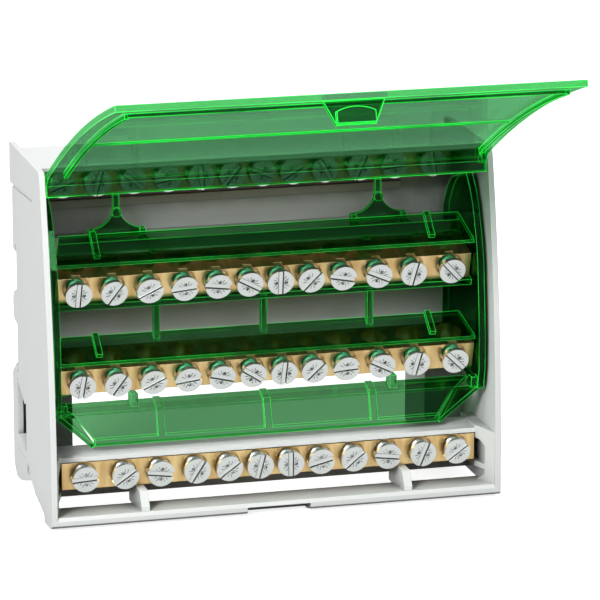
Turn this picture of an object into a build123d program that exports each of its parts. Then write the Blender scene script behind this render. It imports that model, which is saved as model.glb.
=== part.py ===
from build123d import *
import math
import os

os.makedirs("parts", exist_ok=True)

# Stepped distribution block, millimetres, +Z up, front faces -Y, X is the long way.
# The sketch zero is the lower front edge; every part is moved to the rail mount at the end.

# Housing shell
MODULE = 18.0
MODULES = 7
WALL = 1.6
TOP_Z = 95.6
ROOF_FRONT = 15.5
ROOF_BACK = 42.5
HALF = MODULE * MODULES / 2
INNER = HALF - WALL

# Mounting rail, 35 mm wide and 7.5 mm deep, and the seat behind the lower rear wall
RAIL_WIDTH = 35.0
RAIL_DEPTH = 7.5
RAIL_Z = 49.8
SEAT_Y = 43.5
LIP_SLOT = 1.6
LIP_GAP = 0.9
NOSE = 2.2
BACK_Y = SEAT_Y + RAIL_DEPTH
RAIL_TOP = RAIL_Z + RAIL_WIDTH / 2
RAIL_LOW = RAIL_Z - RAIL_WIDTH / 2
SLOT_BACK = SEAT_Y + LIP_SLOT
HOOK_BACK = 48.0
UPPER_WALL_TOP = 90.0

# Front edge of the side walls, one large arc above a straight foot
EDGE_LOW = 5.0
EDGE_HIGH = 91.0
EDGE_R = 370.0

# Terminal bars, all four alike, and the pitches between their twelve screws
BAR_GAP = 0.2
END_BLOCK = 3.0
BAR_HALF = INNER - END_BLOCK - BAR_GAP
BAR_HIGH = 7.4
BAR_DEEP = 12.0
END_LEFT = 5.8
END_RIGHT = 6.0
PITCHES = [9.8, 9.9, 9.7, 9.3, 8.7, 8.6, 8.6, 9.1, 10.0, 9.9, 11.0]
WIRE_SMALL = 2.75
WIRE_LARGE = 3.7
WIRE_MAIN = 4.25
WIRES = [WIRE_LARGE] * 4 + [WIRE_SMALL] * 4 + [WIRE_LARGE] * 3 + [WIRE_MAIN]
REVERSED_ROW = 4
WIRE_IN = 7.1
SCREW_UP = 0.3

# Clamp screws
HEAD_R = 3.65
HEAD_T = 1.4
SLOT_IN = 1.0
HEAD_OUT = 3.5
SLOT_W = 1.5
SHANK_R = 2.4
RECESS_R = 3.55
RECESS_IN = 1.8
TIP_BACK = 0.2

# Sides of the many-sided prisms that stand in for round forms repeated 48 times
HEAD_SIDES = 18
SHANK_SIDES = 8
RECESS_SIDES = 10
WIRE_SIDES = 8

# Rows: depth and height of the middle of the bar's front face, and its tilt in degrees
ROWS = {
    1: (34.2, 86.9, 0.0),
    2: (14.95, 61.65, 16.0),
    3: (11.4, 37.1, 16.0),
    4: (9.6, 11.35, 0.0),
}
TURNS = {
    1: [20, 75, 140, 10, 95, 50, 160, 30, 120, 65, 5, 100],
    2: [88, 57, 28, 6, -8, 150, 92, 50, -12, 155, 80, 132],
    3: [84, 58, 28, 8, 165, 145, 88, 48, 5, 152, 80, 135],
    4: [4, 36, -8, 60, 38, 78, 92, 15, 42, -8, 70, 38],
}

# Cover, drawn open as photographed
COVER_GAP = 0.3
COVER_T = 1.8
PIVOT_Y = 13.2
PIVOT_Z = 93.0
PIN_R = 1.5
PIN_GAP = 0.07
PIN_LONG = 1.2
EAR_R = 2.2
EAR_T = 1.6
COVER_FAR = (-74.0, 131.1)
COVER_BEND = (9.8, 95.5)
COVER_BULGE = 2.5
RIB_IN = 3.3
RIB_T = 1.0
RIB_HIGH = 1.4
LATCH_TOP = 8.1
LATCH_LOW = 5.1
LATCH_LONG = 6.2
LATCH_T = 1.4
LATCH_ROOM = 0.7
COVER_HALF = INNER - COVER_GAP

# Finger guard
GUARD_GAP = 1.1
PLATE = 1.8
SHEET = 1.6
SHELF_T = 1.2
GUARD_OUT = INNER - GUARD_GAP
GUARD_IN = GUARD_OUT - PLATE
GUARD_BACK = SEAT_Y - WALL
DIVIDER_X = 46.8
POST_X = 30.0
BELL_X = 37.1
BELL_HALF = 7.9
BELL_Y = 33.4

# Lower compartment
TUNNEL_FRONT = ROWS[4][0] + BAR_DEEP
LEDGE_Z = 15.3
RIB_X = 36.9
RIB_WALL = 2.3
TRAY_BACK = 12.4


def box(x0, x1, y0, y1, z0, z1):
    """Block between two corners."""
    return Pos((x0 + x1) / 2, (y0 + y1) / 2, (z0 + z1) / 2) * Box(x1 - x0, y1 - y0, z1 - z0)


def prism(points, x0, x1):
    """Side view polygon of (Y, Z) points, run from x0 to x1."""
    face = make_face(Plane.YZ * Polyline(*points, close=True))
    return Pos(x0, 0, 0) * extrude(face, amount=x1 - x0, dir=(1, 0, 0))


def both(shape):
    """The shape and its mirror image to the left."""
    return [shape, mirror(shape, about=Plane.YZ)]


def slab(corners, thick, way):
    """Flat plate through 3-D corners, thickened along a direction."""
    face = make_face(Polyline(*corners, close=True))
    return extrude(face, amount=thick, dir=way)


def rod(x0, x1, y, z, r):
    """Round bar along X."""
    return Pos((x0 + x1) / 2, y, z) * Rot(0, 90, 0) * Cylinder(r, x1 - x0)


def ngon(r, sides, z0, z1):
    """Many-sided prism along Z that stands in for a small round form."""
    face = RegularPolygon(r, sides)
    return Pos(0, 0, z0) * extrude(face, amount=z1 - z0, dir=(0, 0, 1))


def front_y(z):
    """Depth of the curved front edge at a height."""
    return max(0.0, z - EDGE_LOW) ** 2 / (2 * EDGE_R)


def row_place(row):
    """Location of the front face middle of a row, tilted with the row."""
    y, z, tilt = ROWS[row]
    return Location((0, y, z), (tilt, 0, 0))


def terminals(row):
    """Screw places along a bar and conductor hole radii, spread so that the end distances stay."""
    spread = (2 * BAR_HALF - END_LEFT - END_RIGHT) / sum(PITCHES)
    xs = [-BAR_HALF + END_LEFT]
    for pitch in PITCHES:
        xs.append(xs[-1] + pitch * spread)
    if row == REVERSED_ROW:
        return [-x for x in reversed(xs)], list(reversed(WIRES))
    return xs, WIRES


def save(shape, name):
    """Move to the rail mount and write the part."""
    export_step(Pos(0, -SEAT_Y, -RAIL_Z) * shape, "parts/" + name + ".step")


def side_wall():
    """Right hand side wall with its curved front edge."""
    start = (front_y(EDGE_LOW), EDGE_LOW)
    middle_z = (EDGE_LOW + EDGE_HIGH) / 2
    middle = (front_y(middle_z), middle_z)
    end = (front_y(EDGE_HIGH), EDGE_HIGH)
    top_front = front_y(EDGE_HIGH) + 1.7
    rest = [
        end,
        (top_front - 1.0, TOP_Z - 1.4),
        (top_front, TOP_Z),
        (BACK_Y, TOP_Z),
        (BACK_Y, TOP_Z - 11.2),
        (HOOK_BACK, TOP_Z - 11.4),
        (HOOK_BACK, RAIL_TOP - 1.0),
        (SLOT_BACK, RAIL_TOP - 1.3),
        (SLOT_BACK, RAIL_TOP + LIP_GAP),
        (SEAT_Y, RAIL_TOP + LIP_GAP),
        (SEAT_Y, RAIL_Z + 6.0),
        (HOOK_BACK - 0.4, RAIL_Z + 4.4),
        (HOOK_BACK + 0.8, RAIL_Z + 2.6),
        (HOOK_BACK + 0.8, RAIL_Z - 2.6),
        (HOOK_BACK - 0.4, RAIL_Z - 3.5),
        (SEAT_Y, RAIL_Z - 4.1),
        (SEAT_Y, RAIL_LOW - 0.4),
        (SLOT_BACK, RAIL_LOW - 0.4),
        (SLOT_BACK, RAIL_LOW + NOSE),
        (SLOT_BACK + 4.3, RAIL_LOW - 0.6),
        (BACK_Y, RAIL_LOW - 1.9),
        (BACK_Y, 4.2),
        (BACK_Y - 3.5, 1.1),
        (40.5, 1.8),
        (27.0, 5.8),
        (22.3, 3.2),
        (14.7, 1.8),
        (10.6, 0.9),
        (10.4, -1.2),
        (3.6, -0.9),
        (0.6, -0.15),
        (0.0, 0.5),
        start,
    ]
    edge = Plane.YZ * ThreePointArc(start, middle, end)
    line = Plane.YZ * Polyline(*rest)
    wall = extrude(make_face([edge, line]), amount=WALL, dir=(1, 0, 0))
    wall = Pos(INNER, 0, 0) * wall
    groove = [(HOOK_BACK + 1.0, 83.7), (21.0, 85.3), (21.0, 86.1), (HOOK_BACK + 1.0, 84.5)]
    return wall - prism(groove, HALF - 0.4, HALF + 1.0)


def foot():
    """Right hand foot below the rail: hollow, open to the side as a window with two stays."""
    side = 50.4
    low_side = 53.5
    front = 31.6
    sill = 9.9
    top = RAIL_LOW - 0.4
    shell = box(side, INNER, front, BACK_Y, sill - WALL, top)
    shell -= box(side + WALL, INNER, front + WALL, BACK_Y - WALL, sill, top - WALL)
    low_line = [
        (front + 2.0, sill), (BACK_Y, sill), (BACK_Y, 4.2), (BACK_Y - 3.5, 1.1), (40.5, 1.8),
        (front + 2.0, 3.8),
    ]
    low = prism(low_line, low_side, INNER)
    low -= prism(
        [(front + 4.0, sill - WALL), (BACK_Y - WALL, sill - WALL), (BACK_Y - WALL, 5.0),
         (BACK_Y - 4.1, 2.8), (41.0, 3.5), (front + 4.0, 5.0)],
        low_side + WALL, INNER,
    )
    nose_line = [(SLOT_BACK, top - 0.1), (SLOT_BACK, RAIL_LOW + NOSE), (SLOT_BACK + 4.3, top - 0.2)]
    nose = prism(nose_line, low_side, INNER)
    plate = box(INNER - 4.2, INNER - 2.8, front + WALL, BACK_Y - WALL, sill, top - WALL)
    top_stay_line = [(33.2, 30.3), (33.2, 26.0), (35.0, 25.2), (44.0, 29.4), (44.0, 30.3)]
    stay_top = prism(top_stay_line, INNER - 3.0, HALF)
    low_stay_line = [(33.2, 10.0), (45.0, 10.0), (45.0, 14.0), (43.0, 14.6), (33.2, 11.6)]
    stay_low = prism(low_stay_line, INNER - 3.0, HALF)
    return shell + low + nose + plate, stay_top + stay_low


def end_block():
    """Right hand block beside the lowest bar, flared to the front and hollowed like a half moon."""
    back = TUNNEL_FRONT + WALL
    inward = INNER - END_BLOCK
    plan = Polyline((INNER, 1.0), (inward, 10.0), (inward, back), (INNER, back), close=True)
    block = Pos(0, 0, 1.5) * extrude(make_face(plan), amount=15.8, dir=(0, 0, 1))
    moon_line = [(24.0, 7.1), (4.0, 7.1), (3.0, 9.5), (5.0, 12.2), (8.0, 13.7), (24.0, 14.2)]
    moon = prism(moon_line, 50.0, INNER - 1.4)
    low = prism([(24.0, 1.4), (10.0, 1.4), (4.5, 4.8), (4.5, 5.6), (24.0, 5.6)], 50.0, INNER - 1.4)
    return block - moon - low


def housing():
    """The grey moulding that carries everything."""
    body = None
    right_foot, right_stays = foot()
    for piece in both(side_wall()) + both(right_foot):
        body = piece if body is None else body + piece
    wall_bottom = 34.0
    cap_top = RAIL_TOP + LIP_GAP + WALL
    roof = box(-INNER, INNER, ROOF_FRONT, ROOF_BACK, TOP_Z - WALL, TOP_Z)
    wall_low = box(-INNER, INNER, GUARD_BACK, SEAT_Y, wall_bottom, cap_top)
    hook = box(-INNER, INNER, SLOT_BACK, HOOK_BACK, RAIL_TOP - 1.0, cap_top)
    cap = box(-INNER, INNER, GUARD_BACK, HOOK_BACK, RAIL_TOP + LIP_GAP, cap_top)
    bar_back = ROWS[1][0] + BAR_DEEP
    wall_high = box(-INNER, INNER, bar_back, HOOK_BACK, cap_top - 1.0, UPPER_WALL_TOP)
    band = box(-INNER, 47.0, bar_back - 1.2, bar_back + 0.2, 77.3, 79.4)
    tray_line = [
        (0.6, -0.15), (0.0, 0.5), (0.0, 1.7), (0.4, 2.75), (TRAY_BACK, 1.8), (TRAY_BACK, 0.9),
        (10.6, 0.9), (10.4, -1.2), (3.6, -0.9),
    ]
    tray = prism(tray_line, -INNER, INNER)
    tunnel = box(-INNER, INNER, TUNNEL_FRONT, TUNNEL_FRONT + WALL, 2.1, 16.0)
    front = ROWS[4][0]
    ledge_line = [
        (front, LEDGE_Z), (front, LEDGE_Z + 1.3), (front + 2.1, LEDGE_Z + 1.3), (18.0, 17.5),
        (TUNNEL_FRONT + WALL, 16.0), (TUNNEL_FRONT + WALL, LEDGE_Z),
    ]
    ledge = prism(ledge_line, -INNER, INNER)
    for piece in [roof, wall_low, hook, cap, wall_high, band, tray, tunnel, ledge]:
        body += piece
    bar_low = ROWS[4][1] - BAR_HIGH / 2
    bar_top = ROWS[4][1] + BAR_HIGH / 2
    rib_line = [(1.3, 1.2), (1.3, 3.65), (3.7, bar_low), (16.7, bar_low), (16.7, 1.5), (TRAY_BACK - 0.1, 1.2)]
    rib = prism(rib_line, RIB_X - RIB_WALL / 2, RIB_X + RIB_WALL / 2)
    lug = box(45.35, 47.85, front + 0.3, front + 5.4, bar_top, LEDGE_Z + 0.1)
    seat_top = ROWS[1][1] - BAR_HIGH / 2
    bar_seat = box(BAR_HALF - 3.2, INNER, 40.0, bar_back + 0.1, seat_top - WALL, seat_top)
    link = box(53.5, INNER, TUNNEL_FRONT + 1.4, 33.0, 6.0, 9.0)
    for piece in both(rib) + both(end_block()) + both(lug) + both(bar_seat) + both(link):
        body += piece
    window = box(INNER - 0.5, HALF + 0.5, 33.2, 45.0, 9.9, 30.3)
    for side in both(window):
        body -= side
    for piece in both(right_stays):
        body += piece
    pin_hole = rod(INNER - 1.0, COVER_HALF + PIN_LONG + 0.2, PIVOT_Y, PIVOT_Z, PIN_R + PIN_GAP)
    slit = prism([(29.9, 6.0), (32.6, 6.4), (32.9, 9.2), (30.2, 8.6)], HALF - 1.0, HALF + 1.0)
    for side in both(pin_hole) + both(slit):
        body -= side
    room = LATCH_TOP + LATCH_ROOM
    body -= box(-room, room, -0.1, 6.2, -1.5, 1.6)
    return body


def busbar(row):
    """Drilled brass bar of one row; the lowest one has its terminals in the opposite order."""
    bar = box(-BAR_HALF, BAR_HALF, 0, BAR_DEEP, -BAR_HIGH / 2, BAR_HIGH / 2)
    deep = WIRE_IN - 1.0
    for x, r, turn in zip(*terminals(row), TURNS[row]):
        if r == WIRE_MAIN:
            hole = Cylinder(r, BAR_HIGH + 1)
        else:
            hole = Rot(0, 0, 22.5) * ngon(r / math.cos(math.pi / WIRE_SIDES), WIRE_SIDES, -BAR_HIGH, BAR_HIGH)
        bar -= Pos(x, WIRE_IN, 0) * hole
        front = Pos(x, 0, SCREW_UP) * Rot(90, 0, 0) * Rot(0, 0, turn)
        bar -= front * ngon(SHANK_R, SHANK_SIDES, -deep, 1.0)
        bar -= front * ngon(RECESS_R, RECESS_SIDES, -RECESS_IN, 1.0)
    return row_place(row) * bar


def screw(row, place):
    """One clamp screw with a slotted head, head towards the front."""
    xs, wires = terminals(row)
    tip = WIRE_IN - wires[place] - TIP_BACK
    under = HEAD_OUT - HEAD_T
    body = ngon(HEAD_R, HEAD_SIDES, under, HEAD_OUT)
    body -= Pos(0, 0, HEAD_OUT) * Box(2 * HEAD_R + 1, SLOT_W, 2 * SLOT_IN)
    body += ngon(SHANK_R, SHANK_SIDES, -tip, under)
    body = Rot(0, 0, TURNS[row][place]) * body
    return row_place(row) * Pos(xs[place], 0, SCREW_UP) * Rot(90, 0, 0) * body


def shelf(rear, lip, half_rear, half_lip):
    """Sloping shelf from a rear top edge to a front lip, both (Y, Z), narrower at the rear."""
    corners = [(-half_lip, *lip), (half_lip, *lip), (half_rear, *rear), (-half_rear, *rear)]
    plate = slab(corners, SHELF_T, (0, 0.35, -0.93))
    lip_line = [
        (lip[0] + 0.5, lip[1] + 0.35), lip, (lip[0] - 0.9, lip[1] - 0.4), (lip[0] - 0.9, lip[1] - SHELF_T),
        (lip[0] + 0.7, lip[1] - SHELF_T), (lip[0] + 0.9, lip[1] - 0.2),
    ]
    piece = plate + prism(lip_line, -half_lip, half_lip)
    run = (rear[0] - lip[0], rear[1] - lip[1])
    for x in [-DIVIDER_X, DIVIDER_X]:
        low = (lip[0] + 0.1 * run[0], lip[1] + 0.1 * run[1])
        rib_line = [
            (low[0] + 0.3, low[1] - 0.4), (rear[0] + 0.2, rear[1] - 0.5),
            (rear[0] - 0.6, rear[1] + 0.9), (low[0] - 0.7, low[1] + 0.9),
        ]
        piece += prism(rib_line, x - 0.8, x + 0.8)
    return piece


def bell():
    """Right hand bell shaped upright with its two end posts and feet."""
    low = 71.2
    shoulder = 73.6
    left = BELL_X - BELL_HALF
    right = BELL_X + BELL_HALF
    outline = [
        Line((left, low), (left, shoulder)),
        ThreePointArc((left, shoulder), (BELL_X - 3.2, 75.0), (BELL_X - 0.9, 78.4)),
        Line((BELL_X - 0.9, 78.4), (BELL_X - 0.9, 83.0)),
        Line((BELL_X - 0.9, 83.0), (BELL_X + 0.9, 83.0)),
        Line((BELL_X + 0.9, 83.0), (BELL_X + 0.9, 78.4)),
        ThreePointArc((BELL_X + 0.9, 78.4), (BELL_X + 3.2, 75.0), (right, shoulder)),
        Line((right, shoulder), (right, low)),
        Line((right, low), (left, low)),
    ]
    face = make_face([Plane.XZ * edge for edge in outline])
    piece = Pos(0, BELL_Y, 0) * extrude(face, amount=1.2, dir=(0, 1, 0))
    piece += Pos(BELL_X, BELL_Y, 78.2) * Rot(90, 0, 0) * Cylinder(1.3, 1.6)
    for x in [left, right - 1.4]:
        piece += box(x, x + 1.4, 19.6, BELL_Y + 1.2, 69.6, 71.8)
        piece += box(x, x + 1.4, BELL_Y - 1.2, BELL_Y + 1.2, 69.6, shoulder)
    return piece


def guard():
    """Transparent finger guard: side plates, shelves, band, posts, scoop and bells."""
    plate_line = [
        (8.0, 28.3), (6.8, 34.0), (6.8, 42.0), (7.4, 50.0), (8.2, 57.0), (9.0, 64.0), (10.3, 69.0),
        (12.2, 74.0), (14.2, 79.0), (17.0, 83.0), (20.7, 86.6), (33.5, 82.4), (37.6, 79.2),
        (GUARD_BACK, 73.0), (GUARD_BACK, 34.5), (30.0, 32.4), (18.5, 29.4), (14.0, 27.6),
    ]
    body = None
    for piece in both(prism(plate_line, GUARD_IN, GUARD_OUT)):
        body = piece if body is None else body + piece
    bar_low = -BAR_HIGH / 2
    band = row_place(2) * box(-GUARD_IN, GUARD_IN, -1.6, 10.5, bar_low - SHEET, bar_low)
    body += shelf((19.8, 75.7), (13.2, 69.8), GUARD_IN - 2.4, GUARD_IN)
    body += shelf((18.2, 48.0), (11.7, 42.9), GUARD_IN - 2.4, GUARD_IN)
    body += band + box(2.4 - GUARD_IN, GUARD_IN - 2.4, 19.2, 20.4, 70.6, 75.0)
    for x in [-POST_X, 0.0, POST_X]:
        body += box(x - 0.85, x + 0.85, 16.2, 18.0, 45.4, 57.8)
    cradle = row_place(3) * box(GUARD_IN - 3.5, GUARD_IN, 2.0, 11.0, bar_low - SHEET, bar_low)
    for piece in both(cradle) + both(bell()):
        body += piece
    rear = (18.1, 29.4)
    fold = (14.0, 27.5)
    foot_edge = (11.8, 19.2)
    half_fold = GUARD_IN - 4.6
    half_low = GUARD_IN - 10.9
    lip = [(-GUARD_IN, *rear), (GUARD_IN, *rear), (half_fold, *fold), (-half_fold, *fold)]
    panel = [(-half_fold, *fold), (half_fold, *fold), (half_low, *foot_edge), (-half_low, *foot_edge)]
    body += slab(lip, 1.5, (0, 0.42, -0.907))
    body += slab(panel, 1.5, (0, 0.967, -0.256))
    strip = [(GUARD_IN + 0.4, 8.6, 29.0), (half_low + 0.7, 12.0, 18.9), (half_fold, *fold)]
    for piece in both(slab(strip, 1.5, (0.5, 0.5, -0.7))):
        body += piece
    hem_line = [(11.8, 20.8), (11.0, 20.6), (10.9, 18.9), (13.2, 18.9), (13.2, 20.8)]
    hem = prism(hem_line, -half_low - 0.9, half_low + 0.9)
    body += hem
    for x in [-POST_X, 0.0, POST_X]:
        rib_line = [(18.1, 29.8), (13.6, 28.4), (11.0, 20.6), (12.4, 20.6), (14.6, 27.2), (18.1, 28.2)]
        body += prism(rib_line, x - 1.0, x + 1.0)
    clip = prism([(8.3, 28.6), (8.0, 31.6), (10.2, 31.8), (14.0, 28.4)], GUARD_IN - 1.8, GUARD_IN)
    tab = box(35.5, 37.5, 15.2, 19.4, 27.9, 31.6)
    for piece in both(clip) + both(tab):
        body += piece
    return body


def cover_point(along, deep):
    """Point on the cover section: distance from the far edge, and depth below the outer chord."""
    dy = COVER_BEND[0] - COVER_FAR[0]
    dz = COVER_BEND[1] - COVER_FAR[1]
    run = math.hypot(dy, dz)
    y = COVER_FAR[0] + (along * dy + deep * dz) / run
    z = COVER_FAR[1] + (along * dz - deep * dy) / run
    return (y, z)


def cover_arc(deep, start, end):
    """Arc at a depth below the outer surface between two distances from the far edge."""
    chord = math.dist(COVER_FAR, COVER_BEND)
    sag = [4 * COVER_BULGE * (a / chord) * (1 - a / chord) for a in (start, (start + end) / 2, end)]
    marks = [cover_point(a, deep - s) for a, s in zip((start, (start + end) / 2, end), sag)]
    return marks


def cover_rib(start, end, high):
    """Side view face of a rib that follows the concave side of the cover."""
    upper = cover_arc(COVER_T - 0.1, start, end)
    lower = cover_arc(COVER_T + high, start, end)
    edges = [
        Plane.YZ * ThreePointArc(*upper),
        Plane.YZ * Line(upper[2], lower[2]),
        Plane.YZ * ThreePointArc(lower[2], lower[1], lower[0]),
        Plane.YZ * Line(lower[0], upper[0]),
    ]
    return make_face(edges)


def cover():
    """Hinged transparent cover, drawn open."""
    chord = math.dist(COVER_FAR, COVER_BEND)
    top = cover_arc(0, 0, chord)
    low = cover_arc(COVER_T, 0, chord - 0.7)
    flange_t = COVER_T
    flange_line = [
        top[2],
        (PIVOT_Y - 0.9, PIVOT_Z - 0.7),
        (PIVOT_Y - 1.3, PIVOT_Z - 4.2),
        (PIVOT_Y - 1.3 - flange_t, PIVOT_Z - 4.2),
        (PIVOT_Y - 1.0 - flange_t, PIVOT_Z - 1.2),
        low[2],
    ]
    edges = [
        Plane.YZ * ThreePointArc(*top),
        Plane.YZ * Polyline(*flange_line),
        Plane.YZ * ThreePointArc(low[2], low[1], low[0]),
        Plane.YZ * Line(low[0], top[0]),
    ]
    body = Pos(-COVER_HALF, 0, 0) * extrude(make_face(edges), amount=2 * COVER_HALF, dir=(1, 0, 0))
    side_rib = extrude(cover_rib(5.0, chord - 6.0, RIB_HIGH), amount=RIB_T, dir=(1, 0, 0))
    side_rib = Pos(COVER_HALF - RIB_IN - RIB_T, 0, 0) * side_rib
    ear = rod(COVER_HALF - EAR_T, COVER_HALF, PIVOT_Y, PIVOT_Z, EAR_R)
    pin = rod(COVER_HALF - 0.5, COVER_HALF + PIN_LONG, PIVOT_Y, PIVOT_Z, PIN_R)
    for piece in both(side_rib) + both(ear) + both(pin):
        body += piece
    across = COVER_HALF - RIB_IN - 0.5
    for start, high in [(5.0, 1.1), (54.0, 0.5)]:
        rib = extrude(cover_rib(start, start + RIB_T, high), amount=2 * across, dir=(1, 0, 0))
        body += Pos(-across, 0, 0) * rib
    near = 1.0
    corner = cover_point(near, COVER_T - 0.2)
    end = cover_point(near, COVER_T + LATCH_LONG)
    tongue = [
        (-LATCH_TOP, *corner), (LATCH_TOP, *corner), (LATCH_LOW, *end), (-LATCH_LOW, *end),
    ]
    along = (COVER_BEND[0] - COVER_FAR[0], COVER_BEND[1] - COVER_FAR[1])
    way = (0, along[0] / chord, along[1] / chord)
    body += slab(tongue, LATCH_T, way)
    down = (0, along[1] / chord, -along[0] / chord)
    grip_plane = Plane(origin=(0, *cover_point(0.0, 0.0)), x_dir=(1, 0, 0), z_dir=way)
    grip_end = COVER_T + LATCH_LONG - 0.4
    grip_edges = [
        ThreePointArc((-LATCH_LOW, 4.6), (0, 3.4), (LATCH_LOW, 4.6)),
        Line((LATCH_LOW, 4.6), (LATCH_LOW, grip_end)),
        Line((LATCH_LOW, grip_end), (-LATCH_LOW, grip_end)),
        Line((-LATCH_LOW, grip_end), (-LATCH_LOW, 4.6)),
    ]
    grip = make_face([grip_plane * edge for edge in grip_edges])
    body += extrude(grip, amount=near + 0.2, dir=way)
    return body


save(housing(), "housing")
save(guard(), "finger_guard")
save(cover(), "cover")
for row in ROWS:
    save(busbar(row), "busbar_" + str(row))
    for place in range(len(WIRES)):
        save(screw(row, place), "screw_" + str(row) + "_" + str(place + 1).zfill(2))
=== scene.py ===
import math

import bmesh
import bpy
from mathutils import Matrix, Vector


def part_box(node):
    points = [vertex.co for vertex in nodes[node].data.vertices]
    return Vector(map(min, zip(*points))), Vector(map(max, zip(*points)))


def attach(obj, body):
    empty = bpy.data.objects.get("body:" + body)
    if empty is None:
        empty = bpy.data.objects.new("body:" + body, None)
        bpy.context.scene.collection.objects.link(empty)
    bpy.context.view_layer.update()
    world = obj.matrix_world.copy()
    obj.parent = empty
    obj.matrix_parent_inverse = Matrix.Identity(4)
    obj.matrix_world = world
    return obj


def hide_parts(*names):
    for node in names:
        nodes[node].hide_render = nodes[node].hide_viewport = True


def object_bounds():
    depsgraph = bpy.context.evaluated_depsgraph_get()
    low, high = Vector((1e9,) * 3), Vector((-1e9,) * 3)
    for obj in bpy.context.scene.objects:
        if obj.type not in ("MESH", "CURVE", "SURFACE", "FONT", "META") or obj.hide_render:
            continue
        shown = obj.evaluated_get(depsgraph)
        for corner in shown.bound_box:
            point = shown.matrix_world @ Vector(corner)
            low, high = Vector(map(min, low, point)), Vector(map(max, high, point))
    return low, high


MM = 0.001

# Rows: tilt in degrees and slot angle of each screw, as in the part's source
TILTS = {1: 0.0, 2: 16.0, 3: 16.0, 4: 0.0}
TURNS = {
    1: [20, 75, 140, 10, 95, 50, 160, 30, 120, 65, 5, 100],
    2: [88, 57, 28, 6, -8, 150, 92, 50, -12, 155, 80, 132],
    3: [84, 58, 28, 8, 165, 145, 88, 48, 5, 152, 80, 135],
    4: [4, 36, -8, 60, 38, 78, 92, 15, 42, -8, 70, 38],
}

# Rows: terminals in the opposite order, screws behind the guard, screws leaning forward in degrees
REVERSED_ROW = 4
GUARDED_ROWS = (2, 3)
LEANS = {4: 8.0}

# Conductor holes of a bar from left to right, the depth of their axes and half their cut, millimetres
WIRE_LARGE = 3.7
WIRE_SMALL = 2.75
WIRE_MAIN = 4.25
WIRES = [WIRE_LARGE] * 4 + [WIRE_SMALL] * 4 + [WIRE_LARGE] * 3 + [WIRE_MAIN]
WIRE_IN = 7.1
WIRE_CUT = 6.0

# Bars and the holes for their screws, millimetres; SHANK_SHORT ends those holes before the conductor's axis
BAR_HIGH = 7.4
BAR_DEEP = 12.0
BAR_EDGE = 0.12
SCREW_UP = 0.3
RECESS_R = 3.6
RECESS_IN = 1.8
SHANK_SHORT = 1.0
CUT_PAST = 1.0

# Screw head with its slot and the web below the slot, millimetres
HEAD_R = 3.65
HEAD_T = 1.2
HEAD_OUT = 3.5
HEAD_UNDER = HEAD_OUT - HEAD_T
HEAD_EDGE = 0.09
SLOT_W = 1.6
WEB_HALF_LONG = HEAD_R * 0.8
WEB_HALF_WIDE = SLOT_W * 0.7
WEB_T = 0.5
OVERLAP = 0.001

# Key bar in the slot: it stands past the head at one end and stops short of it at the other, millimetres
KEY_W = 1.05
KEY_UP = 0.45
KEY_T = 2.0
KEY_PAST = 0.15
KEY_SHORT = 0.45

# Wings of the cross recess, and the fine marks beside them, millimetres and degrees
WING_W = 0.85
WING_IN = 0.9
WING_OUT = 1.9
WING_DEEP = 0.9
TICK_W = 0.2
TICK_IN = 1.2
TICK_OUT = 2.4
TICK_DEEP = 0.25
TICK_ANGLES = (38, 62, 118, 142, 218, 242, 298, 322)

# Shank and thread, millimetres; TIP_GAP keeps the tip before the conductor hole
SHANK_R = 2.4
SHANK_GAP = 0.1
THREAD_TOP = 0.2
THREAD_PITCH = 0.7
THREAD_DEEP = 0.3
TIP_GAP = 0.2

# Sides of round forms, and the small rounded edges
HEAD_STEPS = 22
THREAD_SIDES = 24
SHANK_SIDES = 40
RECESS_SIDES = 48
WIRE_SIDES = 56
EDGE_STEPS = 2
EDGE_ANGLE = 35.0

# Tolerances: depth of a flat face and reach round a shank in millimetres, and the cosine of an end face
FLAT = 0.02
TOUCH = 0.05
END_FACE = 0.8

# Cover, millimetres: the way its far rim looks, the half width that the latch takes of it, how far it lies
# behind the latch's tip, and where the sheet bends into the flange at the hinge. The rim values place the
# painted glow on the far rim, and the flange places the painted light in the tint
FAR_RIM = (0, -0.920, 0.391)
LATCH_HALF = 8.4
LATCH_FADE = 0.1
RIM_BACK = 3.75
RIM_FADE = 0.25
FLANGE_Y = -34.5

# The cover's tint: levels by share of the way along the sheet, which runs from TINT_BEFORE millimetres
# before the flange's start to TINT_BEHIND millimetres behind it. The levels above one are painted light for
# the roof seen through the sheet, and the last level is darker
TINT_LEVELS = [(0.0, 1.0), (0.62, 1.22), (0.83, 1.28), (0.86, 0.62)]
TINT_BEFORE = 20.0
TINT_BEHIND = 4.0

# Painted glow on the edges of the green pieces: radius in millimetres, and the cosines between which it
# fades out; then the strengths of the painted glow on the cover's side rims and far rim
GUARD_GLOW_EDGES = (0.34, 0.80, 0.98)
COVER_GLOW_EDGES = (0.50, 0.87, 0.985)
SIDE_RIM_GLOW = 0.12
FAR_RIM_GLOW = 0.16

# Painted shade in recesses: the openness of a recess, from the one with the darkest colour to the one with
# the full colour
SHADE_OPEN_LEAST = 0.10
SHADE_OPEN_MOST = 0.58

# Colours
GREYS = ((0.665, 0.685, 0.672), (0.690, 0.708, 0.696))
BRASSES = ((0.54, 0.33, 0.12), (0.95, 0.72, 0.36))
ZINCS = ((0.70, 0.73, 0.715), (0.80, 0.83, 0.815))
# Shank greens: a painted reflection of the green guard on the shanks of the guarded rows
SHANK_REFLECTION_GREENS = ((0.035, 0.24, 0.10), (0.06, 0.34, 0.15))
GUARD_TINT = (0.265, 0.46, 0.30)
COVER_TINT = (0.32, 0.545, 0.385)
GLOSS_GREEN = (0.17, 0.82, 0.27)
# Edge green: the colour of the painted glow along the green pieces' edges
PAINTED_GLOW_GREEN = (0.012, 0.62, 0.045)
FLOOR_TONES = ((0.24, 0.24, 0.24), (0.95, 0.95, 0.95))
WHITE = (1, 1, 1)

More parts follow.
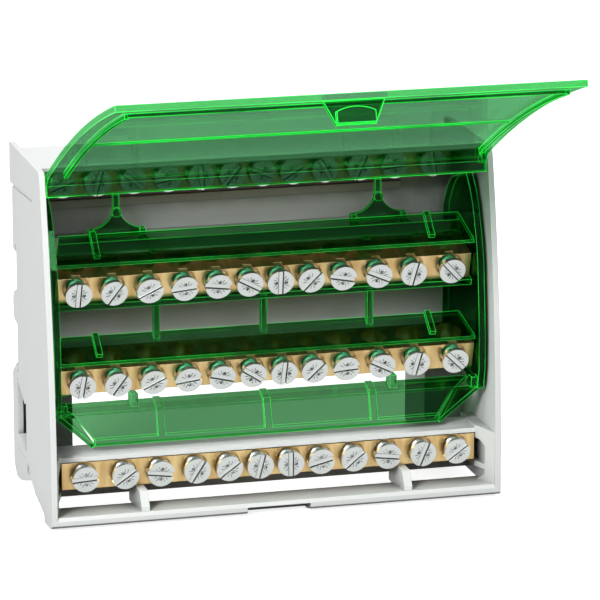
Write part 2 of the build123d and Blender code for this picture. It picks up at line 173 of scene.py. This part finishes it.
# Floor in metres, and the strengths of floor and world as seen, as mirrored and as a light; the sky's light
# rises from SKY_LOW at a direction whose Z is SKY_START to SKY_HIGH overhead
FLOOR_HALF = 3.0
FLOOR_GAP = 0.0002
FLOOR_SEEN = 0.80
FLOOR_MIRRORED = 0.65
SKY_SEEN = 1.0
SKY_MIRRORED = 0.80
SKY_LOW = 0.02
SKY_HIGH = 0.40
SKY_START = -0.1

# Lamps: azimuth from the front and elevation in degrees, distance and width in metres, power in watts
LAMPS = {
    "key": (-38, 29, 1.2, 0.28, 15.5),
    "front": (2, 24, 1.2, 0.30, 2.6),
    "left": (-98, 15, 1.4, 0.8, 2.5),
    "top": (-20, 80, 1.3, 0.5, 1.2),
    "back": (155, 18, 1.4, 0.8, 6.0),
}

# Camera, fitted to the photograph: degrees, metres, and its sensor and lens in millimetres
VIEW_AZIMUTH = -15.0
VIEW_ELEVATION = 14.49
VIEW_DISTANCE = 1.181
VIEW_CENTRE = (0.0058, -0.0435, 0.0091)
SENSOR = 36.0
LENS = 263.6

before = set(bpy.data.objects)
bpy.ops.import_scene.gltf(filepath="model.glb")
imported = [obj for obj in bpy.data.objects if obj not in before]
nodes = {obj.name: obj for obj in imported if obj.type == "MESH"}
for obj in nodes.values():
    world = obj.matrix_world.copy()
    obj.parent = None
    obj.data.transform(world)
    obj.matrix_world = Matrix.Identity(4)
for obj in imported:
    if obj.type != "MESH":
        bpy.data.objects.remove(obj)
size_loaded = [list(corner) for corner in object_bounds()]
LATCH_TIP_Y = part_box("cover")[0][1] / MM


# Shader nodes
def new_material(name):
    """A material with its node tree and its principled shader."""
    material = bpy.data.materials.new(name)
    material.use_nodes = True
    return material, material.node_tree, material.node_tree.nodes["Principled BSDF"]


def add(tree, kind, **values):
    """A node with its named inputs set."""
    node = tree.nodes.new(kind)
    for key, value in values.items():
        node.inputs[key.replace("_", " ")].default_value = value
    return node


def noise(tree, scale, detail, stretch=(1.0, 1.0, 1.0)):
    """Noise in object space, with its own stretch."""
    place = tree.nodes.new("ShaderNodeTexCoord")
    mapping = add(tree, "ShaderNodeMapping", Scale=stretch)
    node = add(tree, "ShaderNodeTexNoise", Scale=scale, Detail=detail)
    tree.links.new(place.outputs["Object"], mapping.inputs["Vector"])
    tree.links.new(mapping.outputs["Vector"], node.inputs["Vector"])
    return node.outputs["Fac"]


def spread(tree, source, low, high, start=0.0, end=1.0):
    """Maps a value from a range onto another."""
    node = add(tree, "ShaderNodeMapRange")
    node.inputs["From Min"].default_value = start
    node.inputs["From Max"].default_value = end
    node.inputs["To Min"].default_value = low
    node.inputs["To Max"].default_value = high
    tree.links.new(source, node.inputs["Value"])
    return node.outputs["Result"]


def combine(tree, way, first, second):
    """Two values put together by a math operation."""
    node = tree.nodes.new("ShaderNodeMath")
    node.operation = way
    tree.links.new(first, node.inputs[0])
    if isinstance(second, float):
        node.inputs[1].default_value = second
    else:
        tree.links.new(second, node.inputs[1])
    return node.outputs["Value"]


def absolute(tree, source):
    """A value without its sign."""
    node = tree.nodes.new("ShaderNodeMath")
    node.operation = "ABSOLUTE"
    tree.links.new(source, node.inputs[0])
    return node.outputs["Value"]


def cosine(tree, first, second):
    """Cosine between two directions, of which the second may be fixed."""
    node = tree.nodes.new("ShaderNodeVectorMath")
    node.operation = "DOT_PRODUCT"
    tree.links.new(first, node.inputs[0])
    if isinstance(second, tuple):
        node.inputs[1].default_value = second
    else:
        tree.links.new(second, node.inputs[1])
    return node.outputs["Value"]


def blend(tree, factor, colours):
    """A colour between the two that are given."""
    node = tree.nodes.new("ShaderNodeMix")
    node.data_type = "RGBA"
    node.inputs["A"].default_value = (*colours[0], 1)
    node.inputs["B"].default_value = (*colours[1], 1)
    tree.links.new(factor, node.inputs["Factor"])
    return node.outputs["Result"]


def colour_ramp(tree, source, stops):
    """Colours along a value, from stops of a position and a colour."""
    node = tree.nodes.new("ShaderNodeValToRGB")
    elements = node.color_ramp.elements
    for index, (position, colour) in enumerate(stops):
        stop = elements[index] if index < 2 else elements.new(position)
        stop.position = position
        stop.color = (*colour, 1)
    tree.links.new(source, node.inputs["Fac"])
    return node.outputs["Color"]


def mixed(tree, factor, first, second):
    """The first shader, and the second where the factor is one."""
    node = tree.nodes.new("ShaderNodeMixShader")
    tree.links.new(factor, node.inputs["Fac"])
    tree.links.new(first, node.inputs[1])
    tree.links.new(second, node.inputs[2])
    return node.outputs["Shader"]


def rounded(tree, radius, samples):
    """The normal that the piece has with its edges rounded, radius in millimetres."""
    node = add(tree, "ShaderNodeBevel", Radius=radius * MM)
    node.samples = samples
    return node.outputs["Normal"]


def bumped(tree, height, distance, strength):
    """A bump node over a height, distance in millimetres."""
    node = add(tree, "ShaderNodeBump", Strength=strength, Distance=distance * MM)
    tree.links.new(height, node.inputs["Height"])
    return node


def soft_normal(tree, radius, height, distance, strength):
    """Rounded edge normal with a bump on top."""
    edges = rounded(tree, radius, samples=6)
    node = bumped(tree, height, distance, strength)
    tree.links.new(edges, node.inputs["Normal"])
    return node.outputs["Normal"]


def glow_edge_mask(tree, radius, low, high):
    """One near the edges of a piece and zero on its flats, where the painted glow goes."""
    edges = rounded(tree, radius, samples=8)
    geometry = tree.nodes.new("ShaderNodeNewGeometry")
    return spread(tree, cosine(tree, edges, geometry.outputs["Normal"]), 1.0, 0.0, low, high)


def with_painted_shade(tree, source, reach, darkest_shade):
    """A colour with painted shade, made darker in narrow recesses of the piece, reach in millimetres."""
    shade_occlusion = add(tree, "ShaderNodeAmbientOcclusion", Distance=reach * MM)
    shade_occlusion.samples = 8
    mix = tree.nodes.new("ShaderNodeMix")
    mix.data_type = "RGBA"
    mix.blend_type = "MULTIPLY"
    mix.inputs["Factor"].default_value = 1.0
    tone = tree.nodes.new("ShaderNodeCombineColor")
    # Painted shade: the occlusion sets how much darker the colour is painted
    level = spread(tree, shade_occlusion.outputs["AO"], darkest_shade, 1.0, SHADE_OPEN_LEAST, SHADE_OPEN_MOST)
    for channel in ["Red", "Green", "Blue"]:
        tree.links.new(level, tone.inputs[channel])
    tree.links.new(source, mix.inputs["A"])
    tree.links.new(tone.outputs["Color"], mix.inputs["B"])
    return mix.outputs["Result"]


def facing(tree, way, low, high):
    """One on faces that look along a direction of the piece, either way."""
    place = tree.nodes.new("ShaderNodeTexCoord")
    size = absolute(tree, cosine(tree, place.outputs["Normal"], way))
    return spread(tree, size, 0.0, 1.0, low, high)


def past(tree, axis, low, high, either_side=False):
    """Goes from zero to one between two places along an axis of the piece, in millimetres."""
    place = tree.nodes.new("ShaderNodeTexCoord")
    split = tree.nodes.new("ShaderNodeSeparateXYZ")
    tree.links.new(place.outputs["Object"], split.inputs["Vector"])
    source = split.outputs[axis]
    if either_side:
        source = absolute(tree, source)
    return spread(tree, source, 0.0, 1.0, low * MM, high * MM)


# Materials
def grey_plastic():
    """Moulded light grey plastic with a fine spark-eroded grain, and painted shade in its recesses."""
    material, tree, shader = new_material("housing_grey")
    grain = noise(tree, scale=1600.0, detail=2.0)
    cloud = noise(tree, scale=35.0, detail=3.0)
    normal = soft_normal(tree, radius=0.25, height=grain, distance=0.02, strength=0.25)
    tree.links.new(normal, shader.inputs["Normal"])
    # Painted shade: the housing's colour is darker in its recesses, up to 24 mm deep
    tone = with_painted_shade(tree, blend(tree, cloud, GREYS), reach=24.0, darkest_shade=0.14)
    tree.links.new(tone, shader.inputs["Base Color"])
    tree.links.new(spread(tree, grain, low=0.38, high=0.50), shader.inputs["Roughness"])
    return material


def cover_tint_with_painted_light(tree):
    """The cover's tint, lighter towards the hinge as painted light for the roof seen through it, and darker
    in the flange beside it.
    """
    stops = [(position, [c * level for c in COVER_TINT]) for position, level in TINT_LEVELS]
    along = past(tree, "Y", FLANGE_Y - TINT_BEFORE, FLANGE_Y + TINT_BEHIND)
    return colour_ramp(tree, along, stops)


def cover_rim_glow(tree):
    """Painted glow on the cover's side rims and its far rim, standing in for light led through the sheet.
    """
    sides = combine(tree, "MULTIPLY", facing(tree, (1, 0, 0), 0.80, 0.95), SIDE_RIM_GLOW)
    beside = past(tree, "X", LATCH_HALF - LATCH_FADE, LATCH_HALF + LATCH_FADE, either_side=True)
    far = combine(tree, "MULTIPLY", facing(tree, FAR_RIM, 0.985, 0.995), beside)
    rim_y = LATCH_TIP_Y + RIM_BACK
    far = combine(tree, "MULTIPLY", far, past(tree, "Y", rim_y + RIM_FADE, rim_y - RIM_FADE))
    return combine(tree, "MAXIMUM", sides, combine(tree, "MULTIPLY", far, FAR_RIM_GLOW))


def green_clear(name, tint, glow, wave, edges, is_cover):
    """Transparent green plastic: tinted, glossy, and with a painted glow along its edges."""
    material, tree, shader = new_material(name)
    tree.nodes.remove(shader)
    flow = noise(tree, scale=22.0, detail=2.0, stretch=(1.0, 2.5, 1.0))
    scuff = noise(tree, scale=700.0, detail=2.0)
    normal = soft_normal(tree, radius=0.3, height=flow, distance=wave, strength=0.5)
    clear = add(tree, "ShaderNodeBsdfTransparent", Color=(*tint, 1))
    if is_cover:
        # The cover's tint carries painted light where the roof lies behind it
        tree.links.new(cover_tint_with_painted_light(tree), clear.inputs["Color"])
    gloss = add(tree, "ShaderNodeBsdfGlossy", Color=(*GLOSS_GREEN, 1))
    tree.links.new(spread(tree, scuff, low=0.02, high=0.06), gloss.inputs["Roughness"])
    tree.links.new(normal, gloss.inputs["Normal"])
    fresnel = add(tree, "ShaderNodeFresnel", IOR=1.45)
    tree.links.new(normal, fresnel.inputs["Normal"])
    mirrored = spread(tree, fresnel.outputs["Fac"], low=0.02, high=0.34)
    face = mixed(tree, mirrored, clear.outputs["BSDF"], gloss.outputs["BSDF"])
    # Painted glow: an emissive green on the edges, though the plastic is no lamp
    green = (*PAINTED_GLOW_GREEN, 1)
    painted_glow = add(
        tree, "ShaderNodeBsdfPrincipled", Base_Color=green, Roughness=0.12, Emission_Color=green,
        Emission_Strength=glow,
    )
    glow_mask = glow_edge_mask(tree, *edges)
    uneven_glow = spread(tree, noise(tree, scale=55.0, detail=2.0), low=0.35, high=1.0, start=0.36, end=0.58)
    glow_mask = combine(tree, "MULTIPLY", glow_mask, uneven_glow)
    if is_cover:
        # The cover adds the painted glow of its rims
        glow_mask = combine(tree, "MAXIMUM", glow_mask, cover_rim_glow(tree))
    surface = mixed(tree, glow_mask, face, painted_glow.outputs["BSDF"])
    tree.links.new(surface, tree.nodes["Material Output"].inputs["Surface"])
    return material


def brushed_brass():
    """Drawn brass with fine streaks across the bar and a blotchy tarnish."""
    material, tree, shader = new_material("brass")
    streak = noise(tree, scale=1.0, detail=4.0, stretch=(420.0, 60.0, 60.0))
    blotch = noise(tree, scale=90.0, detail=3.0)
    grain = noise(tree, scale=1.0, detail=2.0, stretch=(2500.0, 250.0, 250.0))
    streaks = combine(tree, "MULTIPLY", streak, 0.6)
    both = combine(tree, "ADD", streaks, spread(tree, blotch, low=0.0, high=0.4))
    tone = colour_ramp(tree, both, [(0.30, BRASSES[0]), (0.66, BRASSES[1])])
    tree.links.new(tone, shader.inputs["Base Color"])
    normal = soft_normal(tree, radius=0.2, height=grain, distance=0.03, strength=0.4)
    tree.links.new(normal, shader.inputs["Normal"])
    shader.inputs["Metallic"].default_value = 1.0
    tree.links.new(spread(tree, blotch, low=0.26, high=0.42), shader.inputs["Roughness"])
    return material


def zinc_steel():
    """Zinc plated screw steel with a faint satin grain, and painted shade in its narrow recesses."""
    material, tree, shader = new_material("zinc")
    grain = noise(tree, scale=1500.0, detail=3.0)
    cloud = noise(tree, scale=260.0, detail=2.0)
    shader.inputs["Metallic"].default_value = 1.0
    # Painted shade: the screw's colour is darker in its slot, wings and other narrow hollows
    tone = with_painted_shade(tree, blend(tree, cloud, ZINCS), reach=0.9, darkest_shade=0.12)
    tree.links.new(tone, shader.inputs["Base Color"])
    tree.links.new(spread(tree, cloud, low=0.30, high=0.42), shader.inputs["Roughness"])
    satin = bumped(tree, grain, distance=0.01, strength=0.25)
    tree.links.new(satin.outputs["Normal"], shader.inputs["Normal"])
    return material


def zinc_with_painted_green():
    """Plated shank with the guard's green painted on, as a painted reflection of the guard over it."""
    material, tree, shader = new_material("shank")
    shader.inputs["Metallic"].default_value = 0.5
    cloud = noise(tree, scale=60.0, detail=1.0)
    # Painted reflection: the base colour is the guard's green
    tree.links.new(blend(tree, cloud, SHANK_REFLECTION_GREENS), shader.inputs["Base Color"])
    shader.inputs["Roughness"].default_value = 0.55
    return material


materials = {
    # The shank material paints the guard's green reflection onto the shanks
    "shank": zinc_with_painted_green(),
    "housing": grey_plastic(),
    # The guard's and the cover's edges get a painted glow of strength 1.10 and 1.60
    "finger_guard": green_clear("guard_green", GUARD_TINT, 1.10, 0.2, GUARD_GLOW_EDGES, is_cover=False),
    "cover": green_clear("cover_green", COVER_TINT, 1.60, 0.3, COVER_GLOW_EDGES, is_cover=True),
    "busbar": brushed_brass(),
    "screw": zinc_steel(),
}
for name, item in nodes.items():
    key = name if name in materials else name.split("_")[0]
    item.data.materials.clear()
    item.data.materials.append(materials[key])


# Mesh helpers
def block(mesh, x0, x1, y0, y1, z0, z1):
    """Adds a block to a bmesh, in millimetres."""
    size = Matrix.Diagonal((x1 - x0, y1 - y0, z1 - z0, 1))
    middle = Matrix.Translation(((x0 + x1) / 2, (y0 + y1) / 2, (z0 + z1) / 2))
    bmesh.ops.create_cube(mesh, size=1.0, matrix=middle @ size)


def cone(mesh, low_r, high_r, z0, z1, sides, where=Matrix()):
    """Adds a blunt cone to a bmesh, in millimetres."""
    middle = Matrix.Translation((0, 0, (z0 + z1) / 2))
    bmesh.ops.create_cone(
        mesh, cap_ends=True, segments=sides, radius1=low_r, radius2=high_r,
        depth=z1 - z0, matrix=where @ middle,
    )


def cylinder(mesh, r, z0, z1, sides, where=Matrix()):
    """Adds a cylinder to a bmesh, in millimetres."""
    cone(mesh, r, r, z0, z1, sides, where)


def outline_prism(mesh, points, z0, z1):
    """Adds a prism over an outline of (x, y) points."""
    low = [mesh.verts.new((x, y, z0)) for x, y in points]
    high = [mesh.verts.new((x, y, z1)) for x, y in points]
    mesh.faces.new(list(reversed(low)))
    mesh.faces.new(high)
    for a in range(len(points)):
        b = (a + 1) % len(points)
        mesh.faces.new((low[a], low[b], high[b], high[a]))


def as_object(name, mesh):
    """Turns a bmesh in millimetres into an object in metres."""
    bmesh.ops.scale(mesh, vec=(MM, MM, MM), verts=mesh.verts)
    bmesh.ops.recalc_face_normals(mesh, faces=mesh.faces)
    data = bpy.data.meshes.new(name)
    mesh.to_mesh(data)
    mesh.free()
    item = bpy.data.objects.new(name, data)
    bpy.context.scene.collection.objects.link(item)
    return item


def carved(item, cutters):
    """The object's mesh with the cutters taken out; the helpers are removed."""
    for cutter in cutters:
        change = item.modifiers.new("cut", "BOOLEAN")
        change.operation = "DIFFERENCE"
        change.solver = "EXACT"
        change.object = cutter
    graph = bpy.context.evaluated_depsgraph_get()
    data = bpy.data.meshes.new_from_object(item.evaluated_get(graph))
    for helper in [item] + list(cutters):
        bpy.data.objects.remove(helper)
    return data


def bevelled(item, width):
    """Gives an object small rounded edges, width in millimetres."""
    change = item.modifiers.new("edges", "BEVEL")
    change.width = width * MM
    change.segments = EDGE_STEPS
    change.limit_method = "ANGLE"
    change.angle_limit = math.radians(EDGE_ANGLE)


def put(name, data, basis, where):
    """An object of a mesh, turned and put in its place."""
    item = bpy.data.objects.new(name, data)
    item.matrix_world = Matrix.Translation(where) @ basis.to_4x4()
    bpy.context.scene.collection.objects.link(item)
    return item


# Places
def row_basis(row):
    """Axes of a row: X along the bar, Y up its front face, Z out of it."""
    tilt = math.radians(TILTS[row])
    up = Vector((0, -math.sin(tilt), math.cos(tilt)))
    out = Vector((0, -math.cos(tilt), -math.sin(tilt)))
    basis = Matrix.Identity(3)
    basis.col[0] = Vector((1, 0, 0))
    basis.col[1] = up
    basis.col[2] = out
    return basis


def face_centre(node, out):
    """Middle of the node's foremost flat face."""
    far = max(v.co.dot(out) for v in nodes[node].data.vertices)
    face = [v.co for v in nodes[node].data.vertices if far - v.co.dot(out) < FLAT * MM]
    low = Vector([min(c[i] for c in face) for i in range(3)])
    high = Vector([max(c[i] for c in face) for i in range(3)])
    return (low + high) / 2


def wires_of(row):
    """Conductor hole radii along a row, from left to right."""
    return WIRES[::-1] if row == REVERSED_ROW else WIRES


def screw_places(row):
    """Where each screw axis meets the bar's front face."""
    out = row_basis(row).col[2]
    names = ["screw_%d_%02d" % (row, place + 1) for place in range(len(WIRES))]
    return [(name, face_centre(name, out) - out * HEAD_OUT * MM) for name in names]


# Screws
def half_disc(side):
    """Outline of the half of a screw head on one side of its slot."""
    start = math.asin(SLOT_W / 2 / HEAD_R)
    turns = [start + (math.pi - 2 * start) * i / HEAD_STEPS for i in range(HEAD_STEPS + 1)]
    return [(HEAD_R * math.cos(a), side * HEAD_R * math.sin(a)) for a in turns]


def wing_cutter():
    """The two wings that make the slot a cross recess."""
    wings = bmesh.new()
    for side in [-1, 1]:
        low, high = sorted([side * WING_IN, side * WING_OUT])
        block(wings, -WING_W / 2, WING_W / 2, low, high, HEAD_OUT - WING_DEEP, HEAD_OUT + CUT_PAST)
    return as_object("wings", wings)


def tick_cutter():
    """The fine marks round the cross recess."""
    ticks = bmesh.new()
    for angle in TICK_ANGLES:
        before = set(ticks.verts)
        block(ticks, TICK_IN, TICK_OUT, -TICK_W / 2, TICK_W / 2, HEAD_OUT - TICK_DEEP, HEAD_OUT + CUT_PAST)
        made = [v for v in ticks.verts if v not in before]
        turn = Matrix.Rotation(math.radians(angle), 3, "Z")
        bmesh.ops.rotate(ticks, verts=made, cent=(0, 0, 0), matrix=turn)
    return as_object("ticks", ticks)


def head_mesh():
    """Slotted head with cross recess and marks, in metres."""
    head = bmesh.new()
    outline_prism(head, half_disc(1), HEAD_UNDER, HEAD_OUT)
    outline_prism(head, half_disc(-1)[::-1], HEAD_UNDER, HEAD_OUT)
    return carved(as_object("head", head), [wing_cutter(), tick_cutter()])


def add_key(mesh):
    """Adds the key bar in the slot and the web below it."""
    top = HEAD_OUT - KEY_UP
    block(mesh, -HEAD_R - KEY_PAST, HEAD_R - KEY_SHORT, -KEY_W / 2, KEY_W / 2, top - KEY_T, top)
    block(
        mesh, -WEB_HALF_LONG, WEB_HALF_LONG, -WEB_HALF_WIDE, WEB_HALF_WIDE,
        HEAD_UNDER - WEB_T, HEAD_UNDER + OVERLAP,
    )


def add_shank(mesh, tip):
    """Adds the shank, and its thread down to the tip."""
    cylinder(mesh, SHANK_R, THREAD_TOP, HEAD_UNDER - SHANK_GAP, SHANK_SIDES)
    root_r = SHANK_R - THREAD_DEEP
    z = THREAD_TOP
    while z - THREAD_PITCH > tip:
        middle = z - THREAD_PITCH / 2
        cone(mesh, SHANK_R, root_r, middle, z, THREAD_SIDES)
        cone(mesh, root_r, SHANK_R, z - THREAD_PITCH, middle, THREAD_SIDES)
        z -= THREAD_PITCH


def screw_mesh(wire, shank):
    """Clamp screw over a conductor hole, axis along +Z, the bar's face at zero."""
    data = head_mesh()
    rest = bmesh.new()
    add_key(rest)
    add_shank(rest, -(WIRE_IN - wire - TIP_GAP))
    bmesh.ops.scale(rest, vec=(MM, MM, MM), verts=rest.verts)
    rest.from_mesh(data)
    bmesh.ops.recalc_face_normals(rest, faces=rest.faces)
    rest.to_mesh(data)
    rest.free()
    data.materials.clear()
    data.materials.append(materials["screw"])
    data.materials.append(materials[shank])
    for face in data.polygons:
        middle = face.center / MM
        near_axis = math.hypot(middle.x, middle.y) < SHANK_R + TOUCH
        if near_axis and middle.z < HEAD_UNDER - TOUCH and abs(face.normal.z) < END_FACE:
            face.material_index = 1
    return data


def make_screws():
    """The 48 clamp screws, each turned as in the photograph."""
    plain = {wire: screw_mesh(wire, "screw") for wire in set(WIRES)}
    green = {wire: screw_mesh(wire, "shank") for wire in set(WIRES)}
    for row in TILTS:
        basis = row_basis(row)
        # Guarded rows take the screws whose shanks carry the painted green reflection
        meshes = green if row in GUARDED_ROWS else plain
        lean = Matrix.Rotation(math.radians(LEANS.get(row, 0.0)), 3, "X")
        for place, (name, where) in enumerate(screw_places(row)):
            turn = Matrix.Rotation(math.radians(TURNS[row][place]), 3, "Z")
            item = put("clamp_" + name, meshes[wires_of(row)[place]], lean @ basis @ turn, where)
            bevelled(item, HEAD_EDGE)
            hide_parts(name)
            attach(item, "base")


# Bars
def bar_mesh(row, base):
    """The drilled bar, the middle of its front face at zero, Z out of it."""
    low, high = [Vector(c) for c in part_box("busbar_%d" % row)]
    xs = [(where.x - base.x) / MM for _, where in screw_places(row)]
    half = (high.x - low.x) / 2 / MM
    bar = bmesh.new()
    block(bar, -half, half, -BAR_HIGH / 2, BAR_HIGH / 2, -BAR_DEEP, 0.0)
    solid = as_object("bar", bar)
    wires = bmesh.new()
    lie = Matrix.Rotation(math.radians(90), 4, "X")
    for x, r in zip(xs, wires_of(row)):
        cylinder(wires, r, -WIRE_CUT, WIRE_CUT, WIRE_SIDES, Matrix.Translation((x, 0, -WIRE_IN)) @ lie)
    shanks = bmesh.new()
    recesses = bmesh.new()
    for x in xs:
        axis = Matrix.Translation((x, SCREW_UP, 0))
        cylinder(shanks, SHANK_R, -WIRE_IN + SHANK_SHORT, CUT_PAST, SHANK_SIDES, axis)
        cylinder(recesses, RECESS_R, -RECESS_IN, CUT_PAST, RECESS_SIDES, axis)
    cutters = [as_object("wires", wires), as_object("shanks", shanks), as_object("recesses", recesses)]
    data = carved(solid, cutters)
    data.materials.clear()
    data.materials.append(materials["busbar"])
    return data


def make_bars():
    """The four terminal bars with round holes."""
    for row in TILTS:
        node = "busbar_%d" % row
        basis = row_basis(row)
        base = face_centre(node, basis.col[2])
        item = put("terminal_bar_%d" % row, bar_mesh(row, base), basis, base)
        bevelled(item, BAR_EDGE)
        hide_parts(node)
        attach(item, "base")


make_screws()
make_bars()


# Stage
def aim(item, target):
    """Turns an object's -Z towards a point."""
    item.rotation_euler = (Vector(target) - Vector(item.location)).to_track_quat("-Z", "Y").to_euler()


def around(centre, azimuth, elevation, distance):
    """Point round a centre, at an azimuth from the front and an elevation, in degrees."""
    side = math.radians(azimuth)
    rise = math.radians(elevation)
    return (
        centre[0] + distance * math.sin(side) * math.cos(rise),
        centre[1] - distance * math.cos(side) * math.cos(rise),
        centre[2] + distance * math.sin(rise),
    )


def area_light(name, azimuth, elevation, distance, width, power):
    """Square lamp that shines at the origin."""
    origin = (0, 0, 0)
    light = bpy.data.lights.new(name, "AREA")
    light.size = width
    light.energy = power
    item = bpy.data.objects.new(name, light)
    item.location = around(origin, azimuth, elevation, distance)
    bpy.context.scene.collection.objects.link(item)
    aim(item, origin)


def make_floor():
    """White floor just under the object, which keeps its shadow."""
    z = size_loaded[0][2] - FLOOR_GAP
    data = bpy.data.meshes.new("floor")
    signs = [(-1, -1), (1, -1), (1, 1), (-1, 1)]
    data.from_pydata([(x * FLOOR_HALF, y * FLOOR_HALF, z) for x, y in signs], [], [(0, 1, 2, 3)])
    floor = bpy.data.objects.new("floor", data)
    bpy.context.scene.collection.objects.link(floor)
    material, tree, shader = new_material("floor")
    shader.inputs["Roughness"].default_value = 1.0
    shader.inputs["Specular IOR Level"].default_value = 0.0
    shader.inputs["Emission Color"].default_value = (*WHITE, 1)
    path = tree.nodes.new("ShaderNodeLightPath")
    seen = path.outputs["Is Camera Ray"]
    tree.links.new(blend(tree, seen, FLOOR_TONES), shader.inputs["Base Color"])
    mirrored = spread(tree, path.outputs["Is Glossy Ray"], low=0.0, high=FLOOR_MIRRORED)
    glow = combine(tree, "ADD", spread(tree, seen, low=0.0, high=FLOOR_SEEN), mirrored)
    tree.links.new(glow, shader.inputs["Emission Strength"])
    data.materials.append(material)


def make_world():
    """White to the camera, a little dimmer in mirrors and much dimmer as a light."""
    world = bpy.data.worlds.new("world")
    bpy.context.scene.world = world
    world.use_nodes = True
    tree = world.node_tree
    seen = tree.nodes["Background"]
    seen.inputs["Color"].default_value = (*WHITE, 1)
    seen.inputs["Strength"].default_value = SKY_SEEN
    sky = tree.nodes.new("ShaderNodeBackground")
    place = tree.nodes.new("ShaderNodeTexCoord")
    split = tree.nodes.new("ShaderNodeSeparateXYZ")
    tree.links.new(place.outputs["Generated"], split.inputs["Vector"])
    level = spread(tree, split.outputs["Z"], SKY_LOW, SKY_HIGH, SKY_START, 1.0)
    tree.links.new(level, sky.inputs["Strength"])
    path = tree.nodes.new("ShaderNodeLightPath")
    mirrored = add(tree, "ShaderNodeBackground", Strength=SKY_MIRRORED)
    unseen = mixed(
        tree, path.outputs["Is Glossy Ray"], sky.outputs["Background"], mirrored.outputs["Background"],
    )
    surface = mixed(tree, path.outputs["Is Camera Ray"], unseen, seen.outputs["Background"])
    tree.links.new(surface, tree.nodes["World Output"].inputs["Surface"])


def make_camera():
    """Camera of the photograph, fitted to it."""
    data = bpy.data.cameras.new("camera")
    data.sensor_width = SENSOR
    data.lens = LENS
    camera = bpy.data.objects.new("camera", data)
    camera.location = around(VIEW_CENTRE, VIEW_AZIMUTH, VIEW_ELEVATION, VIEW_DISTANCE)
    bpy.context.scene.collection.objects.link(camera)
    aim(camera, VIEW_CENTRE)
    bpy.context.scene.camera = camera
    bpy.context.scene.view_settings.view_transform = "Standard"


make_floor()
make_world()
for name, values in LAMPS.items():
    area_light(name, *values)
make_camera()
